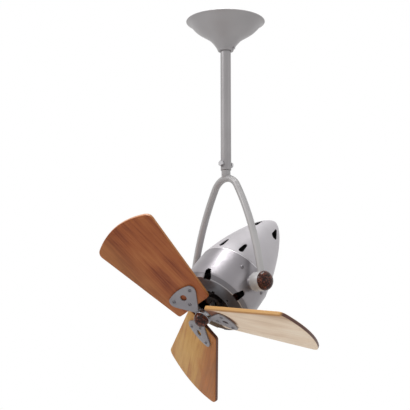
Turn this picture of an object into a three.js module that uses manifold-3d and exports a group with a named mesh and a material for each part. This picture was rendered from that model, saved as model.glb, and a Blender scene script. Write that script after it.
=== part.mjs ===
// Directional ceiling fan: one fan head carried in a pointed bow under a downrod.
// Millimetres, +Z up. Origin: centre of the bracket's ceiling face, on the rod axis.
// The bow lies in the XZ plane, the head tilts about the X axis and faces -Y and down.
import * as THREE from 'three';
import { mergeVertices } from 'three/addons/utils/BufferGeometryUtils.js';
import Module from 'manifold-3d';

const wasm = await Module();
wasm.setup();

// ---------- fits ----------
const seatGap = 0.3;
const runningGap = 0.6;

// ---------- hanging ----------
const rodRadius = 9.525;
const rodWall = 1.8;
const rodBottomZ = -281;
const hangBallRadius = 17;
const hangBallZ = -21;
const plateThickness = 2.5;
const plateLength = 104;
const plateWidth = 34;
const mountSlotSpacing = 82;
const mountSlotRadius = 2.6;
const earThickness = 2.6;
const earWidth = 15;
const hangPinRadius = 2.5;
const hangPinHalf = 14.6;

// ---------- canopy ----------
const canopyRimRadius = 72.4;
const canopyNeckRadius = 14.2;
const canopyHeight = 56.8;
const canopyFlarePower = 1.43;
const canopyBulge = 0.1;
const canopyBulgeFrom = 0.35;
const canopyWall = 1.3;
const canopyRimDrop = 0.6;
const canopyCollarHeight = 7.5;
const setScrewRadius = 2.2;
const setScrewAzimuth = 24;

// ---------- bow ----------
const pivotZ = -491.1;
const bowRodRadius = 6.35;
const bowApexHeight = 195;
const bowCrownRadius = 34;
const bowCrownTurn = 59;
const stemLength = 26;
const crossBoltRadius = 3;
const crossBoltDrop = 11.3;
const hexAcross = 9;
const hexHeight = 3;
const washerThickness = 1;

// ---------- pivots ----------
const barrelRadius = 17.2;
const barrelLength = 20.5;
const barrelStandoff = 8.5;
const frictionWasher = 1.2;
const studRadius = 4;
const knobRadius = 17.2;
const knobDepth = 13.3;
const knobCentreOut = 0.8;

// ---------- head ----------
const restTilt = 47.1;
const shellRadius = 68;
const shellWall = 1.6;
const seamS = -28.1;
const seamTaper = 1.3;
const tipS = -176.4;
const faceS = 49.6;
const creaseDrop = 2.7;
const creaseTaper = 2.1;
const openingRadius = 35;
const spigotLength = 5;
const sideBossRadius = 13;
const faceVent = { s: 37.5, narrow: 5, wide: 7, length: 13, first: 4, count: 6, depth: 5.4 };
const seamVent = { s: -46.5, narrow: 3.2, wide: 4.8, length: 16 };
const tipVent = { s: -136.5, narrow: 2.4, wide: 7.2, length: 18, first: 4, count: 5 };

// ---------- motor ----------
const statorRadius = 44.7;
const statorBore = 25;
const statorHalfLength = 20;
const windingHeight = 11;
const windingLobes = 8;
const cradleWall = 4.6;
const cradleHalfLength = 14;
const shaftRadius = 4;
const bearingRadius = 11;
const bearingLength = 7;
const bracketWall = 3;
const capacitorRadius = 10.5;
const capacitorLength = 34;
const shellScrewS = -7.5;
const shellScrewSpread = 27;

// ---------- rotor ----------
const rotorS = 79.2;
const firstBladeAngle = 102.8;
const bladeCount = 3;
const bladePitch = 21;
const bladeRootR = 23.5;
const bladeRootHalf = 38.3;
const bladeCornerR = 200.8;
const bladeCornerHalf = 69.2;
const bladeTipR = 219.3;
const bladeThickness = 7.6;
const bladeEdge = 1.8;
const padThickness = 3;
const padTipR = 65.2;
const padHalf = 28;
const padRootHalf = 3;
const padHoleR = 49;
const padHoleRadius = 5.8;
const outerScrewR = 53.2;
const outerScrewSide = 20.6;
const innerScrewR = 33;
const bladeScrewRadius = 1.5;
const bladeScrewHead = 3.2;
const hubRadius = 14.6;
const hubBack = 6;
const hubFront = 4.6;
const capRadius = 13.85;
const capCentre = 5.6;

// ---------- materials ----------
const paint = { color: 0x98948f, roughness: 0.42, metalness: 0.35 };
const looks = {
  paint,
  shell: { color: 0xb0aab0, roughness: 0.45, metalness: 0.3 },
  satin: { color: 0xa6a2a8, roughness: 0.32, metalness: 0.6 },
  steel: { color: 0xb8b8ba, roughness: 0.28, metalness: 1 },
  zinc: { color: 0x9a9a98, roughness: 0.5, metalness: 0.9 },
  iron: { color: 0x55555a, roughness: 0.6, metalness: 0.7 },
  copper: { color: 0x7a3a24, roughness: 0.45, metalness: 0.7 },
  wood: { color: 0xb07842, roughness: 0.42, metalness: 0 },
  burl: { color: 0x4a2018, roughness: 0.12, metalness: 0 },
  nylon: { color: 0x2a2a2c, roughness: 0.6, metalness: 0 },
};

// ---------- solids ----------
function solid(geometry) {
  const bare = geometry.clone();
  bare.deleteAttribute('normal');
  bare.deleteAttribute('uv');
  const merged = mergeVertices(bare, 1e-4);
  const mesh = new wasm.Mesh({
    numProp: 3,
    vertProperties: new Float32Array(merged.attributes.position.array),
    triVerts: new Uint32Array(merged.index.array),
  });
  return new wasm.Manifold(mesh);
}

function geometryOf(body) {
  const mesh = body.getMesh();
  const geometry = new THREE.BufferGeometry();
  geometry.setAttribute('position', new THREE.BufferAttribute(new Float32Array(mesh.vertProperties), 3));
  geometry.setIndex(new THREE.BufferAttribute(new Uint32Array(mesh.triVerts), 1));
  const flat = geometry.toNonIndexed();
  flat.computeVertexNormals();
  return flat;
}

const join = (first, ...rest) => rest.reduce((sum, item) => sum.add(item), first);
const cut = (first, ...rest) => rest.reduce((sum, item) => sum.subtract(item), first);

// A revolve about Z of a closed or axis-to-axis profile of [radius, z] pairs.
function revolve(profile, sides = 28) {
  const points = profile.map(([radius, z]) => new THREE.Vector2(radius, z));
  const first = points[0];
  const last = points[points.length - 1];
  if (first.x > 1e-6 || last.x > 1e-6) points.push(first.clone());
  const geometry = new THREE.LatheGeometry(points, sides);
  geometry.rotateX(Math.PI / 2);
  return solid(rightWayOut(geometry));
}

// Turns the faces outward where a profile was drawn the other way round.
function rightWayOut(geometry) {
  const plain = geometry.index ? geometry.toNonIndexed() : geometry;
  const p = plain.attributes.position;
  const [a, b, c] = [new THREE.Vector3(), new THREE.Vector3(), new THREE.Vector3()];
  let volume = 0;
  for (let i = 0; i < p.count; i += 3) {
    a.fromBufferAttribute(p, i);
    b.fromBufferAttribute(p, i + 1);
    c.fromBufferAttribute(p, i + 2);
    volume += a.dot(b.cross(c));
  }
  if (volume < 0) {
    for (let i = 0; i < p.count; i += 3) {
      b.fromBufferAttribute(p, i + 1);
      c.fromBufferAttribute(p, i + 2);
      p.setXYZ(i + 1, c.x, c.y, c.z);
      p.setXYZ(i + 2, b.x, b.y, b.z);
    }
  }
  return plain;
}

function drum(radius, z0, z1, sides = 20) {
  const geometry = new THREE.CylinderGeometry(radius, radius, z1 - z0, sides);
  geometry.rotateX(Math.PI / 2);
  geometry.translate(0, 0, (z0 + z1) / 2);
  return solid(geometry);
}

function ring(outer, inner, z0, z1, sides = 20) {
  return revolve([[inner, z0], [outer, z0], [outer, z1], [inner, z1]], sides);
}

function ball(radius, sides = 14) {
  return solid(new THREE.SphereGeometry(radius, sides, sides / 2));
}

function block(width, depth, height, x, y, z) {
  const geometry = new THREE.BoxGeometry(width, depth, height);
  geometry.translate(x, y, z);
  return solid(geometry);
}

// Extrudes an outline in XY from z0 to z1, with its edges rounded inside the outline.
function slab(shape, z0, z1, edge = 0, curveSegments = 5) {
  const geometry = new THREE.ExtrudeGeometry(shape, {
    depth: z1 - z0 - 2 * edge,
    bevelEnabled: edge > 0,
    bevelThickness: edge,
    bevelSize: edge,
    bevelOffset: -edge,
    bevelSegments: 1,
    curveSegments,
  });
  geometry.translate(0, 0, z0 + edge);
  return solid(geometry);
}

// ---------- frames ----------
const degrees = THREE.MathUtils.degToRad;
const place = (body, matrix) => solid(rightWayOut(geometryOf(body).applyMatrix4(matrix)));
const shift = (x, y, z) => new THREE.Matrix4().makeTranslation(x, y, z);
const turnX = (angle) => new THREE.Matrix4().makeRotationX(degrees(angle));
const turnY = (angle) => new THREE.Matrix4().makeRotationY(degrees(angle));
const turnZ = (angle) => new THREE.Matrix4().makeRotationZ(degrees(angle));

// Head frame: x along the pivot, z along the rotor axis towards the blades.
const tilt = degrees(restTilt);
const headFrame = new THREE.Matrix4()
  .makeBasis(
    new THREE.Vector3(1, 0, 0),
    new THREE.Vector3(0, -Math.sin(tilt), Math.cos(tilt)),
    new THREE.Vector3(0, -Math.cos(tilt), -Math.sin(tilt)),
  )
  .setPosition(0, 0, pivotZ);

function bladeFrame(index) {
  const angle = firstBladeAngle + (index * 360) / bladeCount;
  return shift(0, 0, rotorS).multiply(turnZ(angle)).multiply(turnX(bladePitch));
}

// A tool whose z axis points out of the head's side at an azimuth.
function sideFrame(s, azimuth) {
  return turnZ(azimuth).multiply(shift(0, 0, s)).multiply(turnY(90));
}

const group = new THREE.Group();

function piece(name, body, look, matrix = new THREE.Matrix4()) {
  const mesh = new THREE.Mesh(geometryOf(body), new THREE.MeshStandardMaterial(looks[look]));
  mesh.name = name;
  mesh.applyMatrix4(matrix);
  group.add(mesh);
}

// ---------- hanger bracket, ball and rod ----------
const seatRadius = hangBallRadius + seatGap;
const seatOuter = hangBallRadius + 4.6;
const seatBottomZ = hangBallZ - hangBallRadius + 1.5;
const seatTopZ = hangBallZ - 0.42 * hangBallRadius;
const throatRadius = rodRadius + 2.5;

function hangerBracket() {
  const outline = new THREE.Shape();
  const [halfLength, halfWidth, corner] = [plateLength / 2, plateWidth / 2, plateWidth * 0.3];
  outline.moveTo(-halfLength + corner, -halfWidth);
  outline.lineTo(halfLength - corner, -halfWidth);
  outline.quadraticCurveTo(halfLength, -halfWidth, halfLength, 0);
  outline.quadraticCurveTo(halfLength, halfWidth, halfLength - corner, halfWidth);
  outline.lineTo(-halfLength + corner, halfWidth);
  outline.quadraticCurveTo(-halfLength, halfWidth, -halfLength, 0);
  outline.quadraticCurveTo(-halfLength, -halfWidth, -halfLength + corner, -halfWidth);
  for (const side of [-1, 1]) {
    const slot = new THREE.Path();
    slot.absarc((side * mountSlotSpacing) / 2, 0, mountSlotRadius, 0, Math.PI * 2, true);
    outline.holes.push(slot);
  }
  const plate = slab(outline, -plateThickness, 0, 0, 5);
  const earBottomZ = seatBottomZ + 1.5;
  const earHeight = -plateThickness / 2 - earBottomZ;
  const earX = seatOuter - earThickness / 2;
  const ears = [-1, 1].map((side) => (
    block(earThickness, earWidth, earHeight, side * earX, 0, earBottomZ + earHeight / 2)
  ));
  const seat = drum(seatOuter, seatBottomZ, seatTopZ, 24);
  const socket = place(ball(seatRadius + 0.2), shift(0, 0, hangBallZ));
  const throat = drum(throatRadius, seatBottomZ - 5, seatTopZ);
  const mouth = block(2 * throatRadius, 2 * seatOuter, 2 * seatOuter, 0, seatOuter, seatTopZ - seatOuter / 2);
  return cut(join(plate, ...ears, seat), socket, throat, mouth);
}

function hangerBall() {
  const top = rodRadius + 3;
  const sphere = ball(hangBallRadius);
  const cap = drum(hangBallRadius, Math.sqrt(hangBallRadius ** 2 - top ** 2), hangBallRadius + 1);
  const reach = hangBallRadius + 5;
  const bore = drum(rodRadius + seatGap, -reach, reach);
  const cross = place(drum(hangPinRadius + seatGap, -reach, reach, 10), turnY(90));
  return cut(sphere, cap, bore, cross);
}

const rodTopZ = hangBallZ + Math.sqrt(hangBallRadius ** 2 - (rodRadius + 3) ** 2) + 1.5;
const crossBoltZ = rodBottomZ + crossBoltDrop;

// A drill that passes right through the rod.
const crossDrill = (radius) => drum(radius + seatGap, -2 * rodRadius, 2 * rodRadius, 10);

function downrod() {
  const tube = ring(rodRadius, rodRadius - rodWall, rodBottomZ, rodTopZ, 20);
  const pinHole = place(crossDrill(hangPinRadius), shift(0, 0, hangBallZ).multiply(turnY(90)));
  const boltHole = place(crossDrill(crossBoltRadius), shift(0, 0, crossBoltZ).multiply(turnX(90)));
  return cut(tube, pinHole, boltHole);
}

piece('hanger_bracket', hangerBracket(), 'zinc');
piece('hanger_ball', hangerBall(), 'nylon', shift(0, 0, hangBallZ));
piece('hanger_pin', drum(hangPinRadius, -hangPinHalf, hangPinHalf, 10), 'steel', shift(0, 0, hangBallZ).multiply(turnY(90)));
piece('downrod', downrod(), 'paint');

// ---------- canopy ----------
const canopyBottomZ = -canopyRimDrop - canopyHeight;
const flare = canopyRimRadius - canopyNeckRadius;

// A trumpet flare that swells a little in its upper half.
function canopyRadiusAt(t) {
  const u = Math.max(0, (t - canopyBulgeFrom) / (1 - canopyBulgeFrom));
  return canopyNeckRadius + flare * (t ** canopyFlarePower + canopyBulge * Math.sin(Math.PI * u) ** 2);
}

const canopySlopeAt = (t) => (canopyRadiusAt(t) - canopyRadiusAt(t - 0.01)) / (0.01 * canopyHeight);


function canopy() {
  const steps = 7;
  const bore = rodRadius + seatGap + 0.1;
  const outside = [];
  const inside = [];
  for (let i = 0; i <= steps; i += 1) {
    const t = i / steps;
    const z = canopyBottomZ + canopyHeight * t;
    const radius = canopyRadiusAt(t);
    const slope = canopySlopeAt(Math.max(t, 0.02));
    const length = Math.hypot(1, slope);
    outside.push([radius, z]);
    const inner = [radius - canopyWall / length, z + (canopyWall * slope) / length];
    if (inner[1] < -canopyRimDrop - 1.5 && inner[1] > canopyBottomZ + canopyCollarHeight) inside.push(inner);
  }
  const rimSlope = canopySlopeAt(1);
  inside.push([canopyRimRadius - canopyWall * Math.hypot(1, rimSlope), -canopyRimDrop]);
  const collarTop = canopyBottomZ + canopyCollarHeight;
  const hollow = [[inside[0][0] - 1.5, collarTop], ...inside].reverse();
  const shell = revolve([[bore, canopyBottomZ], ...outside, ...hollow, [bore, collarTop]], 26);
  const screwHole = place(drum(setScrewRadius + seatGap, 0, 2 * canopyNeckRadius, 10), setScrewFrame());
  return cut(shell, screwHole);
}

function setScrewFrame() {
  return turnZ(setScrewAzimuth).multiply(shift(0, 0, setScrewZ)).multiply(turnY(90));
}

const setScrewZ = canopyBottomZ + canopyCollarHeight / 2;

function setScrew() {
  const inner = rodRadius + seatGap;
  const outer = canopyRadiusAt(canopyCollarHeight / canopyHeight) + 1.4;
  const body = drum(setScrewRadius, inner, outer, 10);
  const slot = block(0.8, 8, 2, 0, 0, outer);
  return cut(body, slot);
}

piece('canopy', canopy(), 'paint');
piece('canopy_set_screw', setScrew(), 'steel', setScrewFrame());

// ---------- bow ----------
const barrelInnerX = shellRadius + barrelStandoff;
const barrelOuterX = barrelInnerX + barrelLength;
const bowFootX = barrelOuterX - bowRodRadius;
const stemRadius = rodRadius - rodWall - seatGap;

// One half of the pointed arch: a tight crown arc, then a long flank arc to the barrel.
function bowHalf() {
  const turn = degrees(bowCrownTurn);
  const points = [];
  const crownSteps = 5;
  for (let i = 0; i <= crownSteps; i += 1) {
    const angle = (turn * i) / crownSteps;
    points.push([bowCrownRadius * Math.sin(angle), bowApexHeight - bowCrownRadius * (1 - Math.cos(angle))]);
  }
  const [startX, startZ] = points[crownSteps];
  const heading = Math.PI / 2 - turn;
  const footHeight = barrelRadius * 0.35;
  const [runX, runZ] = [bowFootX - startX, startZ - footHeight];
  const lean = heading - Math.atan2(runX, runZ);
  const radius = Math.hypot(runX, runZ) / (2 * Math.sin(lean));
  const flankSteps = 8;
  for (let i = 1; i <= flankSteps; i += 1) {
    const angle = heading - (2 * lean * i) / flankSteps;
    points.push([
      startX + radius * (Math.cos(angle) - Math.cos(heading)),
      startZ - radius * (Math.sin(heading) - Math.sin(angle)),
    ]);
  }
  return points;
}

function bow() {
  const half = bowHalf();
  const left = half.slice(1).reverse().map(([x, z]) => new THREE.Vector3(-x, 0, z));
  const right = half.map(([x, z]) => new THREE.Vector3(x, 0, z));
  const path = new THREE.CatmullRomCurve3([...left, ...right]);
  const section = new THREE.Shape();
  section.absarc(0, 0, bowRodRadius, 0, Math.PI * 2);
  const arch = solid(rightWayOut(new THREE.ExtrudeGeometry(section, {
    steps: 24,
    extrudePath: path,
    curveSegments: 6,
    bevelEnabled: false,
  })));
  const stemTopZ = rodBottomZ + stemLength - pivotZ;
  const collarTopZ = rodBottomZ - seatGap - pivotZ;
  const collarRadius = rodRadius - 1.4;
  const stem = revolve([
    [0, bowApexHeight],
    [bowRodRadius * 0.9, bowApexHeight],
    [collarRadius, bowApexHeight + bowRodRadius * 0.6],
    [collarRadius, collarTopZ],
    [stemRadius, collarTopZ],
    [stemRadius, stemTopZ],
    [0, stemTopZ],
  ], 18);
  const boltHole = place(crossDrill(crossBoltRadius), shift(0, 0, crossBoltZ - pivotZ).multiply(turnX(90)));
  const barrels = [0, 180].map((angle) => place(pivotBarrel(), turnZ(angle)));
  const bores = [0, 180].map((angle) => place(
    drum(studRadius + seatGap, barrelInnerX - 5, barrelOuterX + 5, 10),
    turnZ(angle).multiply(turnY(90)),
  ));
  return cut(join(arch, stem, ...barrels), boltHole, ...bores);
}

// The eye at the bow's foot, along +X, with softened rims.
function pivotBarrel() {
  const soft = 0.8;
  const body = revolve([
    [0, barrelInnerX],
    [barrelRadius - soft, barrelInnerX],
    [barrelRadius, barrelInnerX + soft],
    [barrelRadius, barrelOuterX - soft],
    [barrelRadius - soft, barrelOuterX],
    [0, barrelOuterX],
  ], 22);
  return place(body, turnY(90));
}

function hexBolt(reach) {
  const head = drum(hexAcross / Math.sqrt(3), -hexHeight, 0, 6);
  return join(head, drum(crossBoltRadius, -hexHeight / 2, reach, 12));
}

const washerSeat = rodRadius + seatGap;
const boltSeat = washerSeat + washerThickness + seatGap;
const nearFace = shift(0, 0, crossBoltZ).multiply(turnX(-90));
const washer = () => ring(hexAcross * 0.58, crossBoltRadius + seatGap, 0, washerThickness, 16);
const crossNut = cut(
  drum(hexAcross / Math.sqrt(3), 0, hexHeight, 6),
  drum(crossBoltRadius + seatGap, -1, hexHeight + 1, 12),
);

piece('bow', bow(), 'paint', shift(0, 0, pivotZ));
piece('cross_bolt', hexBolt(2 * boltSeat + hexHeight + 1), 'steel', nearFace.clone().multiply(shift(0, 0, -boltSeat)));
piece('cross_bolt_washer', washer(), 'steel', nearFace.clone().multiply(shift(0, 0, -washerSeat - washerThickness)));
piece('cross_nut_washer', washer(), 'steel', nearFace.clone().multiply(shift(0, 0, washerSeat)));
piece('cross_nut', crossNut, 'steel', nearFace.clone().multiply(shift(0, 0, boltSeat)));

// ---------- head shells ----------
const frontInner = shellRadius - shellWall;
const seamRadius = shellRadius - seamTaper;
const creaseRadius = shellRadius - creaseTaper;
const creaseS = faceS - creaseDrop;
const bossOuterX = barrelInnerX - frictionWasher - 2 * seatGap;
const bossInnerX = frontInner - 4;

// Rounded end of the rear shell, from the seam radius down to the tip.
function rearRadiusAt(s, offset) {
  const length = seamS - tipS - offset;
  const u = Math.min(1, (seamS - s) / length);
  return (seamRadius - offset) * (1 - u ** 1.2) ** (1 / 1.6);
}

function rearProfile(offset, from) {
  const length = seamS - tipS - offset;
  const stations = offset ? [0.4, 0.75, 0.93] : [0.2, 0.4, 0.58, 0.75, 0.88, 0.97];
  const points = stations.map((u) => [rearRadiusAt(seamS - u * length, offset), seamS - u * length]);
  return [[seamRadius - offset, from], ...points, [0, seamS - length]];
}

// A vent that widens from one end to the other: two rounds and their tangents.
function ventTool({ narrow, wide, length }, lean = 0) {
  const outline = new THREE.Shape();
  const steps = 3;
  const direction = Math.atan2(length, lean);
  const points = [];
  for (let i = 0; i <= steps; i += 1) {
    const angle = direction - Math.PI / 2 + (Math.PI * i) / steps;
    points.push([lean / 2 + wide * Math.cos(angle), length / 2 + wide * Math.sin(angle)]);
  }
  for (let i = 0; i <= steps; i += 1) {
    const angle = direction + Math.PI / 2 + (Math.PI * i) / steps;
    points.push([-lean / 2 + narrow * Math.cos(angle), -length / 2 + narrow * Math.sin(angle)]);
  }
  points.forEach(([x, y], i) => (i ? outline.lineTo(x, y) : outline.moveTo(x, y)));
  outline.closePath();
  return slab(outline, 0, shellRadius);
}

// Puts a vent tool on the head's side: its +Y runs along the rotor axis.
function ventAt(tool, s, azimuth, start) {
  const upright = turnZ(azimuth - 90).multiply(shift(0, 0, s)).multiply(turnX(90)).multiply(turnY(180));
  return place(tool, upright.multiply(shift(0, 0, start)));
}

const seamVentAngles = [44, 80, 116, 152].flatMap((angle) => [angle, -angle]);
const around = ({ first, count }) => Array.from({ length: count }, (_, index) => first + (index * 360) / count);

function rearShell() {
  const outer = rearProfile(0, seamS);
  const inner = rearProfile(shellWall, seamS + spigotLength).reverse();
  const spigotOuter = frontInner - seatGap - 1;
  const spigotInner = spigotOuter - shellWall;
  const shell = revolve([
    ...outer.slice().reverse(),
    [spigotOuter, seamS],
    [spigotOuter, seamS + spigotLength],
    [spigotInner, seamS + spigotLength],
    [spigotInner, seamS - 2],
    ...inner.slice().reverse().slice(1),
  ], 28);
  const seamVents = seamVentAngles.map((angle) => ventAt(ventTool(seamVent), seamVent.s, angle, seamRadius / 2));
  const tipVents = around(tipVent).map((angle) => ventAt(ventTool(tipVent), tipVent.s, angle, seamRadius / 12));
  return cut(shell, ...seamVents, ...tipVents);
}

function frontShell() {
  const back = seamS + seatGap;
  const lip = seamRadius + 0.5;
  const outer = [
    [lip, back],
    [shellRadius - 0.35, -14],
    [shellRadius, 4],
    [shellRadius - 0.3, 28],
    [creaseRadius + 0.4, creaseS - 2.2],
    [creaseRadius - 0.5, creaseS],
    [openingRadius + 8, faceS - 0.4],
    [openingRadius, faceS],
  ];
  const w = shellWall;
  const inner = [
    [openingRadius, faceS - w],
    [openingRadius + 8, faceS - 0.4 - w],
    [creaseRadius - 0.3 - w, creaseS - w],
    [shellRadius - 0.3 - w, faceS - 20],
    [frontInner, -5],
    [lip - w + 0.2, back],
  ];
  const shell = revolve([...outer, ...inner], 28);
  const bosses = [0, 180].map((angle) => place(
    drum(sideBossRadius, bossInnerX, bossOuterX, 14),
    turnZ(angle).multiply(turnY(90)),
  ));
  const studHoles = [0, 180].map((angle) => place(
    drum(studRadius + seatGap, bossInnerX - 5, bossOuterX + 5, 10),
    turnZ(angle).multiply(turnY(90)),
  ));
  const screwHoles = shellScrewAngles.map((angle) => place(
    drum(bladeScrewRadius + seatGap, frontInner - 5, shellRadius + 5, 6),
    sideFrame(shellScrewS, angle),
  ));
  const vents = around(faceVent).map((angle, index) => {
    const lean = index % 2 ? -5 : 4;
    return ventAt(ventTool(faceVent, lean), faceVent.s, angle, creaseRadius - faceVent.depth);
  });
  const notch = block(8, 6, 12, openingRadius + 0.5, 0, faceS);
  const notches = [47, 167, 287].map((angle) => place(notch, turnZ(angle)));
  const faceHole = place(drum(1.8, faceS - 5, faceS + 5, 6), turnZ(6).multiply(shift(openingRadius + 8, 0, 0)));
  return cut(join(shell, ...bosses), ...studHoles, ...screwHoles, ...vents, ...notches, faceHole);
}

const shellScrewAngles = [
  shellScrewSpread,
  180 - shellScrewSpread,
  180 + shellScrewSpread,
  360 - shellScrewSpread,
];

piece('rear_shell', rearShell(), 'shell', headFrame);
piece('front_shell', frontShell(), 'satin', headFrame);

// ---------- motor ----------
const cradleInner = statorRadius + 2 * seatGap;
const cradleOuter = cradleInner + cradleWall;
const studFlangeX = bossInnerX - seatGap;

function motorCradle() {
  const hoop = ring(cradleOuter, cradleInner, -cradleHalfLength, cradleHalfLength, 20);
  const arms = [0, 180].map((angle) => place(
    drum(sideBossRadius, cradleInner + 1, studFlangeX, 12),
    turnZ(angle).multiply(turnY(90)),
  ));
  const lugs = shellScrewAngles.map((angle) => place(
    drum(5, cradleInner + 1, frontInner - 1.2, 6),
    sideFrame(shellScrewS, angle),
  ));
  const studBores = [0, 180].map((angle) => place(
    drum(studRadius + seatGap, cradleInner + 2.5, studFlangeX + 5, 10),
    turnZ(angle).multiply(turnY(90)),
  ));
  const screwBores = shellScrewAngles.map((angle) => place(
    drum(bladeScrewRadius + seatGap, cradleInner + 2.5, frontInner + 5, 6),
    sideFrame(shellScrewS, angle),
  ));
  const clear = drum(cradleInner, -cradleHalfLength - 1, cradleHalfLength + 1, 20);
  return cut(join(hoop, ...arms, ...lugs), clear, ...studBores, ...screwBores);
}

function windingEnd() {
  const middle = (statorBore + statorRadius) / 2;
  const [inner, outer] = [middle - 6.2, middle + 5.4];
  const band = revolve([
    [inner, 0],
    [outer, 0],
    [outer + 0.6, windingHeight * 0.45],
    [outer - 1.5, windingHeight * 0.82],
    [inner + 1.5, windingHeight * 0.82],
    [inner - 0.4, windingHeight * 0.45],
  ], 14);
  const lobes = [];
  for (let i = 0; i < windingLobes; i += 1) {
    const lobe = new THREE.SphereGeometry(1, 5, 4);
    lobe.scale(5.4, 7.2, windingHeight * 0.56);
    lobe.translate(middle - 0.4, 0, windingHeight * 0.45);
    lobes.push(place(solid(lobe), turnZ((i * 360) / windingLobes)));
  }
  const flat = drum(2 * statorRadius, -2 * windingHeight, 0);
  return cut(join(band, ...lobes), flat);
}

// End bracket: a dished ring on the cradle with four arms that carry the bearing.
function endBracket() {
  const rimZ = cradleHalfLength + seatGap;
  const domeZ = statorHalfLength + windingHeight + 3;
  const hubZ = domeZ + bearingLength + bracketWall;
  const w = bracketWall;
  const shell = revolve([
    [cradleInner + 0.4, rimZ],
    [cradleOuter, rimZ],
    [cradleOuter - 0.4, rimZ + 9],
    [cradleOuter - 7, domeZ + w],
    [bearingRadius + w + seatGap, domeZ + w],
    [bearingRadius + w + seatGap, hubZ],
    [shaftRadius + runningGap + 1, hubZ],
    [shaftRadius + runningGap + 1, hubZ - w + seatGap],
    [bearingRadius + seatGap, hubZ - w + seatGap],
    [bearingRadius + seatGap, domeZ],
    [cradleOuter - 9, domeZ],
    [cradleInner + 0.4, rimZ + 8],
  ], 16);
  const windows = [0, 90, 180, 270].map((angle) => {
    const outline = new THREE.Shape();
    const spread = degrees(31);
    outline.absarc(0, 0, cradleOuter + 4, -spread, spread);
    outline.absarc(0, 0, bearingRadius + w + 4, spread, -spread, true);
    outline.closePath();
    return place(slab(outline, rimZ + 6, hubZ + 2, 0, 2), turnZ(angle));
  });
  return cut(shell, ...windows);
}

const bearingZ = statorHalfLength + windingHeight + 3 + seatGap;
const bearing = () => ring(bearingRadius, shaftRadius + seatGap, bearingZ, bearingZ + bearingLength - seatGap, 16);
const reversed = headFrame.clone().multiply(turnX(180));
const bracketBackZ = statorHalfLength + windingHeight + 3 + bearingLength + bracketWall;
const shaftBackZ = -bearingZ - bearingLength - 0.8;
const shaftFrontZ = rotorS + capCentre + capRadius * 0.45;

piece('motor_cradle', motorCradle(), 'zinc', headFrame);
piece('stator_stack', ring(statorRadius, statorBore, -statorHalfLength, statorHalfLength, 20), 'iron', headFrame);
piece('front_winding', windingEnd(), 'copper', headFrame.clone().multiply(shift(0, 0, statorHalfLength + seatGap)));
piece('rear_winding', windingEnd(), 'copper', reversed.clone().multiply(shift(0, 0, statorHalfLength + seatGap)));
piece('front_end_bracket', endBracket(), 'iron', headFrame);
piece('rear_end_bracket', endBracket(), 'zinc', reversed);
piece('front_bearing', bearing(), 'steel', headFrame);
piece('rear_bearing', bearing(), 'steel', reversed);
piece(
  'run_capacitor',
  revolve([
    [0, 0],
    [capacitorRadius, 0],
    [capacitorRadius, capacitorLength - 1.5],
    [capacitorRadius - 1.5, capacitorLength],
    [0, capacitorLength],
  ], 18),
  'nylon',
  reversed.clone().multiply(shift(0, 0, bracketBackZ + seatGap)),
);

// ---------- pivot studs, friction washers, clamp knobs ----------
const knobCentreX = barrelOuterX + knobCentreOut;
const knobFlatX = barrelOuterX + seatGap;
const studEndX = knobCentreX + knobDepth * 0.5;

function pivotStud() {
  const start = cradleInner + 3.2;
  return drum(studRadius, start, studEndX, 14);
}

function clampKnob() {
  const egg = new THREE.SphereGeometry(knobRadius, 16, 8);
  egg.rotateX(Math.PI / 2);
  egg.scale(1, 1, knobDepth / knobRadius);
  const centred = place(solid(egg), shift(0, 0, knobCentreX));
  const face = drum(2 * knobRadius, knobCentreX - 2 * knobRadius, knobFlatX);
  const bore = drum(studRadius + seatGap, knobCentreX - knobRadius, studEndX + seatGap, 14);
  return cut(centred, face, bore);
}

const sides = [['left', 180], ['right', 0]];
for (const [side, angle] of sides) {
  const outward = headFrame.clone().multiply(turnZ(angle)).multiply(turnY(90));
  const washerX = bossOuterX + seatGap;
  piece(`pivot_stud_${side}`, pivotStud(), 'steel', outward);
  piece(
    `friction_washer_${side}`,
    ring(sideBossRadius - 0.6, studRadius + seatGap, washerX, washerX + frictionWasher, 18),
    'nylon',
    outward,
  );
  piece(`clamp_knob_${side}`, clampKnob(), 'burl', outward);
}

// ---------- shell screws ----------
function panScrew(headRadius, shankRadius, length) {
  const head = revolve([
    [0, 0],
    [headRadius, 0],
    [headRadius, headRadius * 0.22],
    [headRadius * 0.55, headRadius * 0.55],
    [0, headRadius * 0.55],
  ], 7);
  return join(head, drum(shankRadius, -length, headRadius * 0.2, 6));
}

shellScrewAngles.forEach((angle, index) => {
  const seat = shellRadius + seatGap;
  const matrix = headFrame.clone().multiply(sideFrame(shellScrewS, angle)).multiply(shift(0, 0, seat));
  piece(`shell_screw_${index + 1}`, panScrew(3.4, bladeScrewRadius, 9), 'steel', matrix);
});

// ---------- rotor ----------
const coreRadius = statorBore - runningGap;
piece(
  'rotor_core',
  ring(coreRadius, shaftRadius + seatGap, -statorHalfLength - 1, statorHalfLength + 1, 20),
  'iron',
  headFrame,
);
piece('rotor_shaft', drum(shaftRadius, shaftBackZ, shaftFrontZ, 14), 'steel', headFrame);

const bladeScrewSpots = [
  ['a', outerScrewR, outerScrewSide],
  ['b', outerScrewR, -outerScrewSide],
  ['c', innerScrewR, 0],
];

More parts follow.
